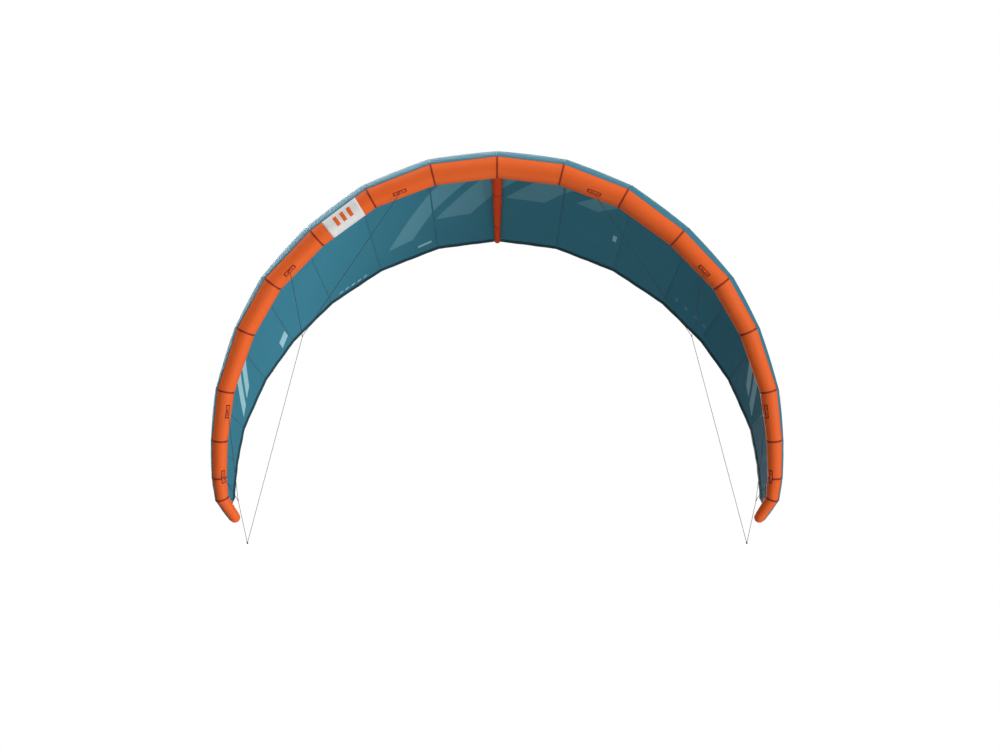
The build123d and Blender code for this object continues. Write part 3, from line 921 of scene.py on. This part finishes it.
for side_name, side in SIDES:
    for index in range(0 if side == 1 else 1, LAST):
        for face, lift in (("top", TAPE_LIFT), ("under", -TAPE_LIFT)):
            tape = seam_tape(f"canopy_seam_{index}_{side_name}_{face}", side, index, lift)
            dress(tape, SEAM_TEAL, "kite")


HEM_HALF = 0.0012
HEM_BEVEL = 0.001
NEAR_TAIL = 0.985  # share of the canopy's length, to tell which way it ends
HEM_SECTION = (  # behind the trailing edge, and out of the arch
    (-HEM_IN, HEM_HALF),
    (-HEM_IN / 2, HEM_HALF),
    (0, HEM_HALF),
    (HEM_OUT - HEM_BEVEL, HEM_HALF),
    (HEM_OUT, 0),
    (HEM_OUT - HEM_BEVEL, -HEM_HALF),
    (0, -HEM_HALF),
    (-HEM_IN / 2, -HEM_HALF),
    (-HEM_IN, -HEM_HALF),
)


def make_hem(side_name, side):
    """Folded tape round the trailing edge."""
    vertices, uvs = [], []
    for bay, across in COLUMNS:
        length = column_length(side, bay, across)
        places = [1 + min(reach, 0) / length for reach, _ in HEM_SECTION]
        cloth_points = canopy_column(side, bay, across, places)
        near_tail = canopy_point(side, bay, across, NEAR_TAIL)
        back = (cloth_points[2] - near_tail) / np.linalg.norm(cloth_points[2] - near_tail)
        normal = RIB_NORMALS[side][bay] * (1 - across) + RIB_NORMALS[side][bay + 1] * across
        for point, (reach, height) in zip(cloth_points, HEM_SECTION):
            vertices.append(point + back * max(reach, 0) + normal * height)
            uvs.append((STARTS[bay] + across * SEGMENT_LENGTHS[bay], reach))
    count = len(HEM_SECTION)
    faces = grid_faces(len(COLUMNS), count, closed=True)
    faces.append(tuple(range(count)))
    faces.append(tuple(reversed(range((len(COLUMNS) - 1) * count, len(COLUMNS) * count))))
    return add_object(f"hem_{side_name}", vertices, faces, uvs)


for side_name, side in SIDES:
    dress(make_hem(side_name, side), HEM_TEAL, "kite", [f"trailing_edge_hem_{side_name}"])


# ------------------------------------------------------------------ centre strut
STRUT_STATIONS = (0.05, 0.985)  # of the rib's curve parameter, nose to tail
STRUT_REST = 0.0030  # gap between the strut and the canopy's middle
STRUT_SEAMS = (0.42, 0.95, 1.45)  # distances from its nose
STRUT_SEAM_WIDTH = 0.008
STRUT_SEAM_LIFT = 0.0002
STRUT_SEAM_THICKNESS = 0.0008
STRUT_NIP_DEPTH = 0.0004
STRUT_NIP_FADE = 0.006
STRUT_CREASE_DEPTH = 0.0003
STRUT_CREASE_FADE = 0.06
STRUT_AROUND = 64
STRUT_RINGS = 110
STRUT_CAP_RINGS = 10
STRUT_FINE_RINGS = 2000  # to find where a seam is
NOSE_GAP = 0.0006  # between the strut's nose and the leading edge
NOSE_STEP = 0.0008


def strut_line(t):
    """Centre, direction and radius of the strut at t of the centre rib's curve."""
    controls, _, _ = rib_controls(0, 1)
    place = bezier(controls, t)
    slope = bezier(controls, t + 0.001) - bezier(controls, t - 0.001)
    slope = slope / np.linalg.norm(slope)
    radius = STRUT_RADIUS_FRONT + (STRUT_RADIUS_REAR - STRUT_RADIUS_FRONT) * place[0] / RIB_CHORDS[0]
    drop = radius + STRUT_REST
    centre = Vector((0, place[0] + slope[1] * drop, place[1] - slope[0] * drop))
    return centre, Vector((0, slope[0], slope[1])), radius


def tube_distance(point):
    """Distance from the middle leading-edge tubes' axis, less their radius."""
    side = -1 if point.x < 0 else 1
    run = segment_direction(0, side)
    along = max(point.dot(run), 0.0)
    radius = TUBE_RADII[0] + (TUBE_RADII[1] - TUBE_RADII[0]) * along / SEGMENT_LENGTHS[0]
    return (point - run * along).length - radius


def strut_spoke(run, degrees):
    """Unit vector square to the strut, at an angle from its top."""
    sine, cosine = radial(degrees)
    wide = Vector((1, 0, 0))
    return wide * sine + wide.cross(run) * cosine


def strut_rings(count):
    """Centre, direction and radius of evenly spaced rings, and how far each is from the nose."""
    gone = 0.0
    previous = None
    for k in range(count + 1):
        t = STRUT_STATIONS[0] + (STRUT_STATIONS[1] - STRUT_STATIONS[0]) * k / count
        centre, run, radius = strut_line(t)
        if previous is not None:
            gone += (centre - previous).length
        previous = centre
        yield centre, run, radius, gone


def make_strut():
    """Tapered strut cover whose nose is fitted to the leading edge."""
    vertices, uvs = [], []
    for centre, run, radius, gone in strut_rings(STRUT_RINGS):
        nips = [math.exp(-abs(gone - seam) / STRUT_NIP_FADE) for seam in STRUT_SEAMS]
        fade = math.exp(-gone / STRUT_CREASE_FADE)
        for k in range(STRUT_AROUND):
            angle = 360 * k / STRUT_AROUND
            crease = (1 + math.sin(k * 0.98 + 7 * gone)) * fade
            reach = radius - STRUT_NIP_DEPTH * sum(nips) + STRUT_CREASE_DEPTH * crease
            point = centre + strut_spoke(run, angle) * reach
            while tube_distance(point) < NOSE_GAP:
                point += run * NOSE_STEP
            vertices.append(point)
            uvs.append((gone, math.radians(angle) * radius))
    faces = grid_faces(STRUT_RINGS + 1, STRUT_AROUND, closed=True)
    base = STRUT_RINGS * STRUT_AROUND
    for r in range(1, STRUT_CAP_RINGS):
        rise, flat = radial(90 * r / STRUT_CAP_RINGS)
        for k in range(STRUT_AROUND):
            angle = 360 * k / STRUT_AROUND
            vertices.append(centre + strut_spoke(run, angle) * radius * flat + run * radius * rise)
            uvs.append((gone + radius * rise, math.radians(angle) * radius))
    for face in grid_faces(STRUT_CAP_RINGS, STRUT_AROUND, closed=True):
        faces.append(tuple(base + v for v in face))
    tip = len(vertices)
    vertices.append(centre + run * radius)
    uvs.append((gone + radius, 0))
    ring = tip - STRUT_AROUND
    faces += [(ring + k, ring + (k + 1) % STRUT_AROUND, tip) for k in range(STRUT_AROUND)]
    return thicken(add_object("strut", vertices, faces, uvs), COVER_THICKNESS, -1.0)


dress(make_strut(), STRUT_RED, "kite", ["strut_cover"])


def make_strut_seam(number, distance):
    """Sewn seam round the strut, at a join of its cloth."""
    rings = strut_rings(STRUT_FINE_RINGS)
    centre, run, radius, _ = next(ring for ring in rings if ring[3] >= distance)
    vertices, uvs = [], []
    for share in STRIP_SHARES:
        shift = share * STRUT_SEAM_WIDTH
        for k in range(STRUT_AROUND):
            angle = 360 * k / STRUT_AROUND
            spoke = strut_spoke(run, angle)
            vertices.append(centre + run * shift + spoke * (radius + STRUT_SEAM_LIFT))
            uvs.append((shift, math.radians(angle) * radius))
    faces = grid_faces(len(STRIP_SHARES), STRUT_AROUND, closed=True)
    return thicken(add_object(f"strut_seam_{number}", vertices, faces, uvs), STRUT_SEAM_THICKNESS)


for number, distance in enumerate(STRUT_SEAMS, 1):
    dress(make_strut_seam(number, distance), SEAM_RED, "kite")


# ------------------------------------------------------------------ valve and bladders
# These are plain enough to be shown as the CAD made them.
KEPT_NODES = {
    "valve_body": VALVE_GREY,
    "valve_cap": CAP_GREY,
    "le_bladder": BLADDER_FILM,
    "strut_bladder": BLADDER_FILM,
}

for node, material in KEPT_NODES.items():
    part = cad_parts[node]
    part.data.materials.clear()
    part.data.materials.append(material)


# ------------------------------------------------------------------ lights and floor
def sun(name, towards, strength, angle):
    """Soft distant light that shines from the direction given."""
    data = bpy.data.lights.new(name, "SUN")
    data.energy = strength
    data.angle = math.radians(angle)
    light = bpy.data.objects.new(name, data)
    light.rotation_mode = "QUATERNION"
    light.rotation_quaternion = Vector(towards).to_track_quat("Z", "Y")
    bpy.context.scene.collection.objects.link(light)


def make_world():
    """White where seen directly; as a light, dim below and brighter above."""
    world = bpy.data.worlds.new("studio")
    world.use_nodes = True
    tree = world.node_tree
    back = tree.nodes["Background"]
    back.inputs["Strength"].default_value = 1.0
    place = tree.nodes.new("ShaderNodeTexCoord")
    parts = tree.nodes.new("ShaderNodeSeparateXYZ")
    tree.links.new(place.outputs["Generated"], parts.inputs[0])
    height = tree.nodes.new("ShaderNodeMapRange")
    for socket, number in zip(height.inputs[1:5], (-1.0, 1.0, 0.0, 0.26)):
        socket.default_value = number
    tree.links.new(parts.outputs[2], height.inputs[0])
    path = tree.nodes.new("ShaderNodeLightPath")
    mix = tree.nodes.new("ShaderNodeMix")
    mix.data_type = "RGBA"
    mix.inputs[7].default_value = (1, 1, 1, 1)
    tree.links.new(height.outputs[0], mix.inputs[6])
    tree.links.new(path.outputs["Is Camera Ray"], mix.inputs["Factor"])
    tree.links.new(mix.outputs[2], back.inputs["Color"])
    bpy.context.scene.world = world


make_world()
bpy.context.scene.view_settings.view_transform = "Standard"
sun("key_right", (0.79, -0.55, -0.26), 2.25, 30)
sun("top_front", (0.0, -0.55, 0.83), 0.9, 40)
sun("top_left", (-0.60, -0.10, 0.79), 1.5, 40)
sun("rim_back", (-0.15, 0.90, 0.40), 2.3, 35)

# The floor is far down and small, so that it doesn't stand in the key light's way.
FLOOR_DROP = 12.0
FLOOR_HALF = 7.0
corners = [(x * FLOOR_HALF, y * FLOOR_HALF, -FLOOR_DROP) for x, y in ((-1, -1), (1, -1), (1, 1), (-1, 1))]
floor = add_object("floor", corners, [(0, 1, 2, 3)])
floor_shader = Shader("floor_pale")
floor_shader.set(Base_Color=(0.93, 0.93, 0.93, 1), Roughness=0.9)
floor.data.materials.append(floor_shader.material)
